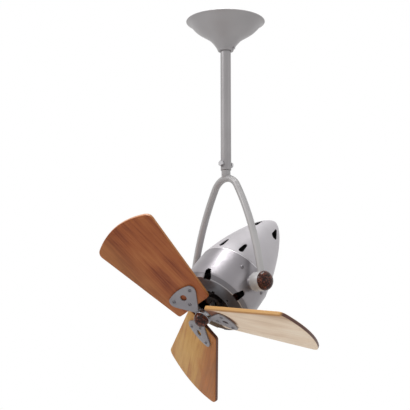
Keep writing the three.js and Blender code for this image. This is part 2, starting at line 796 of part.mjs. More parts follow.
function bladeOutline() {
  const outline = new THREE.Shape();
  const tipControl = 2 * bladeTipR - bladeCornerR;
  const tipAt = (t) => [
    (1 - t) ** 2 * bladeCornerR + 2 * t * (1 - t) * tipControl + t ** 2 * bladeCornerR,
    ((1 - t) ** 2 - t ** 2) * -bladeCornerHalf,
  ];
  const sideAt = (t) => [
    bladeRootR + (bladeCornerR - bladeRootR) * t,
    bladeRootHalf + (bladeCornerHalf - bladeRootHalf) * t,
  ];
  const [farR, farHalf] = sideAt(0.945);
  const [nearR, nearHalf] = sideAt(0.03);
  outline.moveTo(bladeRootR, -bladeRootHalf + 5);
  outline.quadraticCurveTo(bladeRootR, -bladeRootHalf, nearR, -nearHalf);
  outline.lineTo(farR, -farHalf);
  outline.quadraticCurveTo(bladeCornerR, -bladeCornerHalf, ...tipAt(0.07));
  for (let i = 1; i < 7; i += 1) outline.lineTo(...tipAt(0.07 + (0.86 * i) / 7));
  outline.lineTo(...tipAt(0.93));
  outline.quadraticCurveTo(bladeCornerR, bladeCornerHalf, farR, farHalf);
  outline.lineTo(nearR, nearHalf);
  outline.quadraticCurveTo(bladeRootR, bladeRootHalf, bladeRootR, bladeRootHalf - 5);
  outline.closePath();
  return outline;
}

function blade() {
  const board = slab(bladeOutline(), -bladeThickness, 0, bladeEdge, 3);
  const holes = bladeScrewSpots.map(([, r, s]) => place(
    drum(bladeScrewRadius + seatGap, -bladeThickness + 1, 2, 6),
    shift(r, s, 0),
  ));
  return cut(board, ...holes);
}

function padOutline() {
  const outline = new THREE.Shape();
  const [cornerR, cornerHalf] = [padTipR - 4.3, padHalf * 0.9];
  const [shoulderR, shoulderHalf] = [padTipR * 0.66, padHalf * 0.94];
  outline.moveTo(6, -padRootHalf);
  outline.lineTo(14, -padRootHalf);
  outline.lineTo(shoulderR, -shoulderHalf);
  outline.quadraticCurveTo(padTipR * 0.82, -padHalf * 1.2, cornerR, -cornerHalf);
  outline.quadraticCurveTo(2 * padTipR - cornerR, 0, cornerR, cornerHalf);
  outline.quadraticCurveTo(padTipR * 0.82, padHalf * 1.2, shoulderR, shoulderHalf);
  outline.lineTo(14, padRootHalf);
  outline.lineTo(6, padRootHalf);
  outline.closePath();
  const eye = new THREE.Path();
  eye.absarc(padHoleR, 0, padHoleRadius, 0, Math.PI * 2, true);
  outline.holes.push(eye);
  return outline;
}

function bladeSpider() {
  const hub = revolve([
    [0, -hubBack],
    [hubRadius - 1, -hubBack],
    [hubRadius, -hubBack + 1],
    [hubRadius, hubFront - 1],
    [hubRadius - 1, hubFront],
    [0, hubFront],
  ], 20);
  const pad = slab(padOutline(), seatGap, seatGap + padThickness, 0, 6);
  const holes = bladeScrewSpots.map(([, r, s]) => place(drum(bladeScrewRadius + seatGap, -2, 8, 6), shift(r, s, 0)));
  const arm = cut(pad, ...holes);
  const arms = [];
  for (let i = 0; i < bladeCount; i += 1) arms.push(place(arm, bladeFrame(i)));
  const centre = place(hub, shift(0, 0, rotorS));
  const bore = drum(shaftRadius + seatGap, rotorS - 2 * hubBack, rotorS + 2 * hubFront, 14);
  return cut(join(centre, ...arms), bore);
}

function hubCap() {
  const egg = new THREE.SphereGeometry(capRadius, 18, 8);
  egg.rotateX(Math.PI / 2);
  egg.translate(0, 0, rotorS + capCentre);
  const face = drum(2 * capRadius, rotorS - 2 * capRadius, rotorS + hubFront + seatGap);
  const bore = drum(shaftRadius + seatGap, rotorS, shaftFrontZ + seatGap, 14);
  return cut(solid(egg), face, bore);
}

piece('blade_spider', bladeSpider(), 'satin', headFrame);
piece('hub_cap', hubCap(), 'burl', headFrame);
for (let i = 0; i < bladeCount; i += 1) {
  const frame = headFrame.clone().multiply(bladeFrame(i));
  piece(`blade_${i + 1}`, blade(), 'wood', frame);
  for (const [tag, r, s] of bladeScrewSpots) {
    const seat = frame.clone().multiply(shift(r, s, padThickness + 2 * seatGap));
    piece(`blade_screw_${i + 1}${tag}`, panScrew(bladeScrewHead, bladeScrewRadius, 7.5), 'steel', seat);
  }
}

export default group;
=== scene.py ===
import math
import bmesh
import bpy
import numpy as np
from mathutils import Matrix, Vector


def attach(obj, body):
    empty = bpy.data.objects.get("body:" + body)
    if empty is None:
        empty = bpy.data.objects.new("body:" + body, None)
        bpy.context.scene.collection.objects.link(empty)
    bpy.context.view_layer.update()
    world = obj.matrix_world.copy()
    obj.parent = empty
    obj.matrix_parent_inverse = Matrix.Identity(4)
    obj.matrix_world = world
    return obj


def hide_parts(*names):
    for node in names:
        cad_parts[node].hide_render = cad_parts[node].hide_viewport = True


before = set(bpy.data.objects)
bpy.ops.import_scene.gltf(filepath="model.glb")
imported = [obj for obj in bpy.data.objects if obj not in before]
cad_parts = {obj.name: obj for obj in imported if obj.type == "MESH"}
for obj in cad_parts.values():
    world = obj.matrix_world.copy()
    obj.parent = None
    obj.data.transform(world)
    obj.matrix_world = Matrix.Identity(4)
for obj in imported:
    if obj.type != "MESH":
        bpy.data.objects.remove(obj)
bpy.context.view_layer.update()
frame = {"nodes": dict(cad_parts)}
nodes = frame["nodes"]
print("frame loaded:", len(nodes), "nodes")

mm = 0.001  # the sizes of the pieces are in millimetres, as in the part
hanging = {"pivotZ": -491.1, "tilt": 47.1}


def turn(angle, axis):
    return Matrix.Rotation(math.radians(angle), 4, axis)


def shift(x, y, z):
    return Matrix.Translation((x * mm, y * mm, z * mm))


# head frame: x along the pivots, z along the rotor axis towards the blades
headFrame = shift(0, 0, hanging["pivotZ"]) @ turn(90 + hanging["tilt"], "X")


# on the head's side, with z pointing outwards
def sideFrame(s, angle):
    return turn(angle, "Z") @ shift(0, 0, s) @ turn(90, "Y")


# meshes
def newPiece(name, bm, body=None, replaced=()):
    bmesh.ops.remove_doubles(bm, verts=bm.verts, dist=1e-6)
    bmesh.ops.recalc_face_normals(bm, faces=bm.faces)
    mesh = bpy.data.meshes.new(name)
    bm.to_mesh(mesh)
    bm.free()
    piece = bpy.data.objects.new(name, mesh)
    bpy.context.scene.collection.objects.link(piece)
    soften(piece)
    if body:
        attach(piece, body)
    if replaced:
        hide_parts(*replaced)
    return piece


def soften(piece, angle=32):
    piece.data.polygons.foreach_set("use_smooth", [True] * len(piece.data.polygons))
    piece.data.set_sharp_from_angle(angle=math.radians(angle))
    piece.data.update()


def dress(piece, look):
    piece.data.materials.clear()
    piece.data.materials.append(look.material)
    return piece


# spins a profile of (radius, height) pairs about z
def revolve(bm, profile, steps=96, matrix=None, closed=False):
    before = set(bm.verts)
    verts = [bm.verts.new((r * mm, 0, z * mm)) for r, z in profile]
    edges = [bm.edges.new(pair) for pair in zip(verts, verts[1:])]
    if closed:
        edges.append(bm.edges.new((verts[-1], verts[0])))
    bmesh.ops.spin(bm, geom=verts + edges, cent=(0, 0, 0), axis=(0, 0, 1), dvec=(0, 0, 0),
                   angle=2 * math.pi, steps=steps, use_merge=True)
    bmesh.ops.remove_doubles(bm, verts=[v for v in bm.verts if v not in before], dist=1e-7)
    if matrix is not None:
        bmesh.ops.transform(bm, matrix=matrix, verts=[v for v in bm.verts if v not in before])


# pulls a flat outline up from z0 to z1
def prism(bm, outline, z0, z1, matrix=None):
    face = bm.faces.new([bm.verts.new((x * mm, y * mm, z0 * mm)) for x, y in outline])
    grown = bmesh.ops.extrude_face_region(bm, geom=[face], use_keep_orig=True)["geom"]
    top = [v for v in grown if isinstance(v, bmesh.types.BMVert)]
    bmesh.ops.translate(bm, vec=(0, 0, (z1 - z0) * mm), verts=top)
    if matrix is not None:
        bmesh.ops.transform(bm, matrix=matrix, verts=top + list(face.verts))


# the mesh of an object with its modifiers applied
def meshOf(source):
    bpy.context.view_layer.update()
    solved = source.evaluated_get(bpy.context.evaluated_depsgraph_get())
    return bpy.data.meshes.new_from_object(solved)


# cuts one mesh out of a piece
def carve(piece, cutterMesh):
    cutter = newPiece("cutter", cutterMesh)
    modifier = piece.modifiers.new("carve", "BOOLEAN")
    modifier.object = cutter
    modifier.solver = "EXACT"
    mesh = meshOf(piece)
    piece.modifiers.clear()
    piece.data = mesh
    bpy.data.objects.remove(cutter)
    soften(piece)
    return piece


# paints the faces that lie more than a skin's depth inside a profile with painted shade
def paintShadeInside(piece, radiusAt, depth, look):
    piece.data.materials.append(look.material)
    inverse = headFrame.inverted()
    for face in piece.data.polygons:
        spot = inverse @ face.center
        if math.hypot(spot.x, spot.y) < (radiusAt(spot.z / mm) - depth) * mm:
            face.material_index = 1


def roundEdges(piece, width, segments=3, angle=35):
    modifier = piece.modifiers.new("edges", "BEVEL")
    modifier.width = width * mm
    modifier.segments = segments
    modifier.limit_method = "ANGLE"
    modifier.angle_limit = math.radians(angle)
    modifier.harden_normals = True
    return piece


# a curve filled or swept, as a mesh placed by a matrix
def curveInto(bm, loops, matrix, depth, flat=True, extrude=0.0, resolution=3):
    curve = bpy.data.curves.new("outline", "CURVE")
    curve.dimensions = "2D" if flat else "3D"
    curve.fill_mode = "BOTH" if flat else "FULL"
    curve.use_fill_caps = not flat
    for loop in loops:
        spline = curve.splines.new("POLY")
        spline.points.add(len(loop) - 1)
        for point, spot in zip(spline.points, loop):
            point.co = (*(value * mm for value in spot), *([0] * (3 - len(spot))), 1)
        spline.use_cyclic_u = flat
    curve.bevel_depth = depth * mm
    curve.bevel_resolution = resolution
    if flat:
        curve.extrude = extrude * mm
        curve.offset = -depth * mm
    source = bpy.data.objects.new("outline", curve)
    bpy.context.scene.collection.objects.link(source)
    mesh = meshOf(source)
    before = set(bm.verts)
    bm.from_mesh(mesh)
    bmesh.ops.transform(bm, matrix=matrix, verts=[v for v in bm.verts if v not in before])
    bpy.data.objects.remove(source)
    bpy.data.meshes.remove(mesh)


def plateInto(bm, loops, z0, z1, edge, matrix):
    curveInto(bm, loops, matrix @ shift(0, 0, (z0 + z1) / 2), edge, extrude=(z1 - z0) / 2 - edge)


def circle(x, y, radius, count=40):
    angles = [2 * math.pi * i / count for i in range(count)]
    return [(x + radius * math.cos(a), y + radius * math.sin(a)) for a in angles]


def bend(start, control, end, count=8):
    points = []
    for i in range(count + 1):
        t = i / count
        points.append(tuple((1 - t) ** 2 * a + 2 * t * (1 - t) * b + t * t * c
                            for a, b, c in zip(start, control, end)))
    return points


# materials
class Value:
    def __init__(self, nodes, socket):
        self.nodes = nodes
        self.socket = socket

    def math(self, operation, other):
        return self.nodes.add("ShaderNodeMath", {"operation": operation}, {0: self, 1: other})

    def __add__(self, other):
        return self.math("ADD", other)

    __radd__ = __add__

    def __sub__(self, other):
        return self.math("SUBTRACT", other)

    def __rsub__(self, other):
        return (self * -1) + other

    def __mul__(self, other):
        return self.math("MULTIPLY", other)

    __rmul__ = __mul__

    # goes softly from start to end as this value goes from low to high
    def between(self, low, high, start=0.0, end=1.0):
        spots = {"Value": self, "From Min": low, "From Max": high, "To Min": start, "To Max": end}
        return self.nodes.add("ShaderNodeMapRange", {"interpolation_type": "SMOOTHSTEP"}, spots)

    def colours(self, *stops):
        return self.nodes.add("ShaderNodeValToRGB", {"stops": stops}, {0: self})


# adds nodes to a tree, each by its type, its settings and its inputs
class Nodes:
    def __init__(self, tree):
        self.tree = tree

    def add(self, kind, settings=None, inputs=None, output=0):
        node = self.tree.nodes.new(kind)
        for setting, value in (settings or {}).items():
            if setting == "stops":
                for spot, _ in value[2:]:
                    node.color_ramp.elements.new(spot)
                for element, (spot, colour) in zip(node.color_ramp.elements, sorted(value)):
                    element.position = spot
                    element.color = (*colour, 1)
            else:
                setattr(node, setting, value)
        for socket, value in (inputs or {}).items():
            if isinstance(value, Value):
                self.tree.links.new(value.socket, node.inputs[socket])
            else:
                node.inputs[socket].default_value = value
        return Value(self, node.outputs[output])


class Look(Nodes):
    def __init__(self, name, colour, roughness, metallic=0.0, coat=0.0, coatRoughness=0.05,
                 shine=0.5):
        self.material = bpy.data.materials.new(name)
        self.material.use_nodes = True
        super().__init__(self.material.node_tree)
        self.shader = self.tree.nodes["Principled BSDF"]
        plain = {"Base Color": (*colour, 1), "Roughness": roughness, "Metallic": metallic,
                 "Coat Weight": coat, "Coat Roughness": coatRoughness, "Specular IOR Level": shine}
        for socket, value in plain.items():
            self.shader.inputs[socket].default_value = value
        self.place = self.add("ShaderNodeTexCoord", output="Object")

    def noise(self, scale, detail=3.0, rough=0.55, twist=0.0, place=None):
        return self.add("ShaderNodeTexNoise", None, {
            "Vector": place or self.place, "Scale": scale, "Detail": detail, "Roughness": rough,
            "Distortion": twist}, "Fac")

    # object coordinates seen from a frame, then stretched
    def placed(self, matrix, scale=(1, 1, 1), offset=(0, 0, 0)):
        inverse = matrix.inverted()
        turned = self.add("ShaderNodeMapping", None, {
            "Vector": self.place, "Location": inverse.translation, "Rotation": inverse.to_euler()})
        return self.add("ShaderNodeMapping", None, {
            "Vector": turned, "Scale": scale, "Location": offset})

    def axes(self, place):  # x, y and z as three values
        split = {0: place}
        return [self.add("ShaderNodeSeparateXYZ", None, split, axis) for axis in "XYZ"]

    def mix(self, factor, low, high):
        colours = [colour if isinstance(colour, Value) else (*colour, 1) for colour in (low, high)]
        spots = {0: factor, 6: colours[0], 7: colours[1]}
        return self.add("ShaderNodeMix", {"data_type": "RGBA"}, spots, 2)

    def set(self, name, value):
        self.tree.links.new(value.socket, self.shader.inputs[name])
        return self

    def bump(self, height, strength, distance):
        return self.set("Normal", self.add("ShaderNodeBump", None, {
            "Strength": strength, "Distance": distance, "Height": height}))


def paintLook(name, dark, light, roughness, metallic, grain=900.0):
    look = Look(name, light, roughness, metallic)
    look.set("Base Color", look.noise(9.0, 2.0).colours((0.3, dark), (0.7, light)))
    look.set("Roughness", look.noise(60.0).between(0.3, 0.7, roughness - 0.04, roughness + 0.05))
    return look.bump(look.noise(grain, 2.0), 0.04, 0.0002)


def metalLook(name, colour, roughness, metallic=1.0, scale=500.0):
    look = Look(name, colour, roughness, metallic)
    grain = look.noise(scale)
    look.set("Roughness", grain.between(0.3, 0.7, roughness * 0.8, roughness * 1.3))
    return look.bump(grain, 0.05, 0.0002)


rodPaint = paintLook("rod_paint_look", (0.35, 0.335, 0.34), (0.41, 0.395, 0.40), 0.42, 0.25)
bowPaint = paintLook("bow_paint_look", (0.40, 0.39, 0.39), (0.47, 0.46, 0.46), 0.42, 0.25)
steelLook = metalLook("steel_look", (0.5, 0.49, 0.5), 0.3)
print("first materials made")

# canopy and downrod
canopy = {"rim": 72.4, "neck": 14.2, "height": 56.8, "power": 1.43, "bulge": 0.1, "bulgeFrom": 0.35,
          "wall": 1.3, "drop": 0.6, "collar": 7.5}
rod = {"radius": 9.525, "wall": 1.8, "bottom": -281.0, "top": -7.94}


def canopyRadius(t):
    u = max(0.0, (t - canopy["bulgeFrom"]) / (1 - canopy["bulgeFrom"]))
    swell = canopy["bulge"] * math.sin(math.pi * u) ** 2
    return canopy["neck"] + (canopy["rim"] - canopy["neck"]) * (t ** canopy["power"] + swell)


def canopyProfile():
    outside, inside = [], []
    low = -canopy["drop"] - canopy["height"]
    for i in range(41):
        t = i / 40
        late = max(t, 0.02)
        slope = (canopyRadius(late) - canopyRadius(late - 0.01)) / (0.01 * canopy["height"])
        length = math.hypot(1, slope)
        outside.append((canopyRadius(t), low + canopy["height"] * t))
        inner = (canopyRadius(t) - canopy["wall"] / length,
                 outside[-1][1] + canopy["wall"] * slope / length)
        if low + canopy["collar"] + 0.5 < inner[1] < -canopy["drop"] - 0.4:
            inside.append(inner)
    inside.append((canopy["rim"] - 2.3, -canopy["drop"]))
    bore = rod["radius"] + 0.4
    neck, rim, top, collarTop = canopy["neck"], canopy["rim"], -canopy["drop"], low + canopy["collar"]
    profile = [(bore, low + 0.5), (bore + 0.6, low), (neck - 0.6, low), (neck, low + 0.5)]
    profile += outside[1:-1] + [(rim - 0.1, top - 0.6), (rim - 0.5, top)]
    return profile + inside[::-1] + [(inside[0][0] - 1.5, collarTop), (bore, collarTop)]


bm = bmesh.new()
revolve(bm, canopyProfile(), 160, closed=True)
dress(newPiece("canopySkin", bm, "canopy_body", ["canopy"]), rodPaint)

bm = bmesh.new()
rodInner, rodOuter = rod["radius"] - rod["wall"], rod["radius"]
revolve(bm, [(rodInner, rod["bottom"]), (rodOuter - 0.5, rod["bottom"]),
             (rodOuter, rod["bottom"] + 0.5), (rodOuter, rod["top"]), (rodInner, rod["top"])],
        72, closed=True)
dress(newPiece("rodSkin", bm, "mount", ["downrod"]), rodPaint)
print("canopy and downrod made")

# bow: a pointed arch with a barrel at each foot
bow = {"rod": 6.35, "apex": 195.0, "crown": 34.0, "turn": 59.0, "footUp": 6.02,
       "stem": 7.4, "stemUp": 20.0}
barrel = {"radius": 17.2, "inner": 76.5, "outer": 97.0, "bore": 4.3, "soft": 0.9}


# a round crown, then one long arc down to each foot
def bowPath():
    points = []
    span = math.radians(bow["turn"])
    for i in range(25):
        angle = span * i / 24
        points.append((bow["crown"] * math.sin(angle),
                       bow["apex"] - bow["crown"] * (1 - math.cos(angle))))
    startX, startZ = points[-1]
    heading = math.pi / 2 - span
    runX, runZ = barrel["outer"] - bow["rod"] - startX, startZ - bow["footUp"]
    lean = heading - math.atan2(runX, runZ)
    radius = math.hypot(runX, runZ) / (2 * math.sin(lean))
    for i in range(1, 49):
        angle = heading - 2 * lean * i / 48
        points.append((startX + radius * (math.cos(angle) - math.cos(heading)),
                       startZ - radius * (math.sin(heading) - math.sin(angle))))
    half = [(x, 0, z + hanging["pivotZ"]) for x, z in points]
    return [(-x, y, z) for x, y, z in half[:0:-1]] + half


def barrelProfile():
    soft, radius = barrel["soft"], barrel["radius"]
    rim = [(radius - soft, 0), (radius - 0.25, 0.25), (radius, soft)]
    near = [(r, barrel["inner"] + z) for r, z in rim]
    far = [(r, barrel["outer"] - z) for r, z in rim[::-1]]
    return [(barrel["bore"], barrel["inner"])] + near + far + [(barrel["bore"], barrel["outer"])]


# a collar on the arch, and the stem that goes up into the rod
def stemProfile():
    low, high = hanging["pivotZ"] + bow["apex"], rod["bottom"] - 0.3
    collar, stem, top = rod["radius"] - 1.4, bow["stem"], rod["bottom"] + bow["stemUp"]
    return [(0, low), (bow["rod"] * 0.9, low), (collar - 0.9, low + 2.6), (collar, low + 4.4),
            (collar, high - 0.5), (collar - 0.5, high), (stem, high), (stem, top), (0, top)]


bm = bmesh.new()
curveInto(bm, [bowPath()], Matrix(), bow["rod"], flat=False, resolution=12)
revolve(bm, stemProfile(), 64)
for side in (0, 180):
    foot = shift(0, 0, hanging["pivotZ"]) @ turn(side, "Z") @ turn(90, "Y")
    revolve(bm, barrelProfile(), 96, foot, closed=True)
dress(newPiece("bowSkin", bm, "mount", ["bow"]), bowPaint)
print("bow made")

# head shells
head = {"radius": 68.0, "wall": 1.6, "seam": -28.1, "seamR": 66.7, "tip": -176.4, "face": 49.6,
        "opening": 35.0, "boss": 13.0, "bossFrom": 62.4, "bossTo": 74.7, "taper": (1.2, 1.6)}
seamVent = {"s": -46.5, "narrow": 3.2, "wide": 4.8, "length": 16, "angles": (44, 80, 116, 152),
            "from": 33}
tipVent = {"s": -136.5, "narrow": 2.4, "wide": 7.2, "length": 18, "first": 4, "count": 5, "from": 5.6}
faceVent = {"s": 37.5, "narrow": 5, "wide": 7, "length": 13, "first": 4, "count": 6, "from": 60.5,
            "leans": (4, -5)}
shellScrew = {"s": -7.5, "angles": (27, 153, 207, 333), "seat": 67.75, "radius": 3.4}


# the rear shell from its seam to its point
def rearCurve(offset, count):
    length = head["seam"] - head["tip"] - offset
    early, late = head["taper"]
    spots = [math.sin(math.pi / 2 * i / count) for i in range(1, count)]
    radii = [(head["seamR"] - offset) * (1 - u ** early) ** (1 / late) for u in spots]
    return [(r, head["seam"] - u * length) for r, u in zip(radii, spots)] + [(0, head["seam"] - length)]


# a wide and a narrow half circle, joined by the outline's straight sides
def ventOutline(vent, lean=0.0, steps=12):
    direction = math.atan2(vent["length"], lean)
    points = []
    for end, radius in ((1, vent["wide"]), (-1, vent["narrow"])):
        for i in range(steps + 1):
            angle = direction - end * math.pi / 2 + math.pi * i / steps
            points.append((end * lean / 2 + radius * math.cos(angle),
                           end * vent["length"] / 2 + radius * math.sin(angle)))
    return points


ventReach = 60  # how far a vent's cut goes out, well past the skin


def ventInto(bm, vent, angle, lean=0.0):
    place = headFrame @ turn(angle - 90, "Z") @ shift(0, 0, vent["s"]) @ turn(90, "X") @ turn(180, "Y")
    prism(bm, ventOutline(vent, lean), vent["from"], vent["from"] + ventReach, place)


seam, wall = head["seam"], head["wall"]
spigot = head["radius"] - wall - 1.3  # radius of the rear shell's rim, inside the front shell
rearEdge = [(head["seamR"] - 0.4, seam - 0.1), (head["seamR"], seam - 0.5)]
rearRim = [(spigot - wall, seam - 2), (spigot - wall, seam + 5), (spigot, seam + 5), (spigot, seam)]
bm = bmesh.new()
revolve(bm, rearEdge + rearCurve(0, 40) + rearCurve(wall, 24)[::-1] + rearRim, 144, headFrame,
        closed=True)
rearSkin = newPiece("rearSkin", bm, "head", ["rear_shell"])
bm = bmesh.new()
for angle in seamVent["angles"]:
    for sign in (1, -1):
        ventInto(bm, seamVent, sign * angle)
for index in range(tipVent["count"]):
    ventInto(bm, tipVent, tipVent["first"] + 360 * index / tipVent["count"])
carve(rearSkin, bm)
roundEdges(rearSkin, 0.45)
dress(rearSkin, paintLook("rear_shell_look", (0.46, 0.44, 0.46), (0.54, 0.515, 0.54), 0.5, 0.2))
# painted shade: the shells' insides are near black, as the shade inside them seen through the vents
insideShadeLook = metalLook("shell_inside_shade_look", (0.012, 0.010, 0.010), 0.6, 0.0)


# radius of a profile at a height, for a profile that only rises
def radiusOf(profile):
    radii, heights = zip(*profile)
    return lambda s: np.interp(s, heights, radii)


paintShadeInside(rearSkin, radiusOf(rearCurve(0, 40)[::-1]), 1.0, insideShadeLook)
print("rear shell made")

# the side tones are the shell's paint; the bevel and face tones are painted shade, and the ring and lip
# tones are painted highlights
frontTonesAndPaintedLight = {
    "side": ((0.23, 0.215, 0.23), (0.28, 0.265, 0.28)),
    "bevel": ((0.12, 0.112, 0.12), (0.16, 0.15, 0.16)),
    "face": ((0.145, 0.145, 0.16), (0.185, 0.185, 0.20)),
    "ring": (0.34, 0.33, 0.34), "lip": (0.80, 0.78, 0.80),
}
# heights of the bands of painted shade and painted highlight on the front shell
paintedLightBands = {"lip": (-26.2, -26.9), "bevel": (36.2, 37.4), "ring": (45.0, 45.4),
              "face": (46.2, 46.6)}
mouth = {"cut": (40, 60), "notches": (47, 167, 287), "notchHalf": 3.0,
         "hole": 2.4, "holeAngle": 6, "holeOut": 8.0}


# painted shade darkens the bevel and the flat face below the sides, and painted highlights brighten a
# ring and the seam lip
def frontLook():
    look = paintLook("front_shell_look", *frontTonesAndPaintedLight["side"], 0.34, 0.55)
    height = look.axes(look.placed(headFrame))[2]
    paintedLightMasks = {name: height.between(low * mm, high * mm) for name, (low, high) in paintedLightBands.items()}
    broad = look.noise(9.0, 2.0)
    tones = {name: broad.colours((0.3, frontTonesAndPaintedLight[name][0]), (0.7, frontTonesAndPaintedLight[name][1]))
             for name in ("side", "bevel", "face")}
    front = look.mix(paintedLightMasks["lip"], tones["side"], frontTonesAndPaintedLight["lip"])
    front = look.mix(paintedLightMasks["bevel"], front, tones["bevel"])
    front = look.mix(paintedLightMasks["ring"], front, frontTonesAndPaintedLight["ring"])
    return look.set("Base Color", look.mix(paintedLightMasks["face"], front, tones["face"]))


lip = head["seamR"] + 0.5  # the front shell's edge at the seam
opening = head["opening"]
frontOuter = [
    (lip - 0.5, seam + 0.3), (lip, seam + 0.7), (67.25, -22), (67.6, -14), (67.85, -5), (68, 4),
    (68, 12), (67.9, 20), (67.75, 27), (67.5, 32), (67.3, 34.6), (67.0, 36.0), (66.5, 37.6),
    (63.9, 44.9), (63.4, 45.9), (62.7, 46.5), (61.6, 46.8), (50, 48.1), (opening + 8, 48.9),
    (opening + 0.6, head["face"])]
frontInner = [
    (opening, head["face"] - 0.5), (opening, head["face"] - wall), (opening + 8, 48.9 - wall),
    (50, 48.1 - wall), (61, 46.8 - wall), (62, 44.8), (64.8, 37), (65.6, 34), (66.1, 27),
    (66.4, -5), (lip - wall, seam + 0.3)]
boss, bossEnd = head["boss"], head["bossTo"]
bossProfile = [
    (barrel["bore"], head["bossFrom"]), (boss, head["bossFrom"]), (boss, bossEnd - 0.6),
    (boss - 0.2, bossEnd - 0.2), (boss - 0.6, bossEnd), (barrel["bore"], bossEnd)]
bm = bmesh.new()
revolve(bm, frontOuter + frontInner, 144, headFrame, closed=True)
for side in (0, 180):
    revolve(bm, bossProfile, 64, headFrame @ turn(side, "Z") @ turn(90, "Y"), closed=True)
frontSkin = newPiece("frontSkin", bm, "head", ["front_shell"])
bm = bmesh.new()
for index in range(faceVent["count"]):
    angle = faceVent["first"] + 360 * index / faceVent["count"]
    ventInto(bm, faceVent, angle, faceVent["leans"][index % 2])
inner, outer, half = opening - 3.5, opening + 4.5, mouth["notchHalf"]
notch = [(inner, -half), (outer, -half), (outer, half), (inner, half)]
for angle in mouth["notches"]:
    prism(bm, notch, *mouth["cut"], headFrame @ turn(angle, "Z"))
hole = circle(opening + mouth["holeOut"], 0, mouth["hole"])
prism(bm, hole, *mouth["cut"], headFrame @ turn(mouth["holeAngle"], "Z"))
carve(frontSkin, bm)
roundEdges(frontSkin, 0.5)
dress(frontSkin, frontLook())
faceFrom = 46.4  # the flat face lies ahead of this and keeps its finish
sideRadius = radiusOf(frontOuter[1:17])
paintShadeInside(frontSkin, lambda s: sideRadius(s) if s < faceFrom else 0, 1.2, insideShadeLook)
print("front shell made")

screwLook = metalLook("screw_look", (0.17, 0.16, 0.17), 0.34)
screw = {"dome": 0.6, "reach": 0.5, "floor": 0.22, "slot": 0.35}  # shares of the radius; slot in mm


# a domed head with a crossed recess
def screwHead(name, matrix, radius, body, node):
    bm = bmesh.new()
    angles = [math.pi / 2 * i / 10 for i in range(11)]
    arc = [(radius * math.sin(a), radius * screw["dome"] * math.cos(a)) for a in angles]
    revolve(bm, arc + [(radius, -0.1), (0, -0.1)], 40)
    piece = newPiece(name, bm)
    long, thin = radius * screw["reach"], screw["slot"]
    quarter = [(long, -thin), (long, thin), (thin, thin)]
    turns = ((1, 0), (0, 1), (-1, 0), (0, -1))
    cross = [(x * c - y * s, x * s + y * c) for c, s in turns for x, y in quarter]
    bm = bmesh.new()
    prism(bm, cross, radius * screw["floor"], radius)
    carve(piece, bm)
    piece.data.transform(matrix)
    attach(piece, body)
    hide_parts(node)
    return dress(piece, screwLook)


for number, angle in enumerate(shellScrew["angles"]):
    screwHead("shellScrewSkin_%d" % (number + 1),
              headFrame @ sideFrame(shellScrew["s"], angle) @ shift(0, 0, shellScrew["seat"]),
              shellScrew["radius"], "head", "shell_screw_%d" % (number + 1))

# burl knobs and cap
knob = {"radius": 17.2, "depth": 13.3, "centre": 97.8, "flat": 97.3}
cap = {"radius": 13.85, "depth": 13.85, "centre": 84.8, "flat": 84.1}


def burlLook():
    look = Look("burl_look", (0.1, 0.03, 0.02), 0.3, coat=0.4, coatRoughness=0.02, shine=0.05)
    tone = look.noise(150.0, 5.0, 0.62, 2.2) * 0.75 + look.noise(420.0, 3.0, 0.6, 0.6) * 0.3
    return look.set("Base Color", tone.colours(
        (0.42, (0.003, 0.001, 0.001)), (0.70, (0.30, 0.085, 0.042)), (0.55, (0.042, 0.008, 0.004))))


def eggInto(bm, size, matrix):
    start = math.acos((size["flat"] - size["centre"]) / size["depth"])
    angles = [start * i / 40 for i in range(41)]
    arc = [(size["radius"] * math.sin(a), size["centre"] + size["depth"] * math.cos(a)) for a in angles]
    revolve(bm, arc + [(0, size["flat"])], 72, matrix)


burl = burlLook()
for side, angle in (("left", 180), ("right", 0)):
    bm = bmesh.new()
    eggInto(bm, knob, headFrame @ turn(angle, "Z") @ turn(90, "Y"))
    dress(newPiece("knobSkin_" + side, bm, "knob_" + side, ["clamp_knob_" + side]), burl)
bm = bmesh.new()
eggInto(bm, cap, headFrame)
dress(newPiece("capSkin", bm, "rotor", ["hub_cap"]), burl)
print("knobs and cap made")

# blades
rotor = {"s": 79.2, "first": 102.8, "pitch": 21.0}
blade = {"rootR": 23.5, "rootHalf": 38.3, "cornerR": 200.8, "cornerHalf": 69.2, "tipR": 219.3,
         "thick": 7.6, "edge": 1.8, "sideStart": 0.03, "sideEnd": 0.945, "rootIn": 5.0}
sideSlope = (blade["cornerHalf"] - blade["rootHalf"]) / (blade["cornerR"] - blade["rootR"])
woods = [
    {"dark": (0.17, 0.030, 0.006), "middle": (0.345, 0.092, 0.023), "light": (0.44, 0.150, 0.042),
     "seed": 0.0, "side": (0.46, 0.165, 0.050), "sideFrom": (0.005, 0.055), "shine": 0.3,
     "edgeRoot": (0.40, 0.16, 0.05), "edgeTip": (0.52, 0.26, 0.14)},
    {"dark": (0.38, 0.130, 0.024), "middle": (0.53, 0.270, 0.066), "light": (0.62, 0.360, 0.105),
     "seed": 3.7, "side": (0.46, 0.155, 0.030), "sideFrom": (-0.006, 0.034), "shine": 0.3,
     "edgeRoot": (0.11, 0.035, 0.018), "edgeTip": (0.50, 0.24, 0.09)},
    # blade 3: its pale dark, middle, light and side tones are the wood under a painted sheen of glare;
    # its root tone is a painted shadow about the pad
    {"dark": (0.68, 0.49, 0.33), "middle": (0.81, 0.63, 0.46), "light": (0.87, 0.73, 0.57),
     "seed": 7.1, "side": (0.62, 0.41, 0.25), "sideFrom": (0.030, 0.072), "shine": 0.5,
     "root": (0.17, 0.050, 0.016), "rim": (0.46, 0.22, 0.065), "edgeRoot": (0.58, 0.31, 0.09),
     "edgeTip": (0.10, 0.035, 0.022)},
]
pad = {"tip": 65.2, "half": 28.0, "hole": 49.0, "holeR": 5.8, "thick": 3.0, "gap": 0.3, "edge": 0.5}
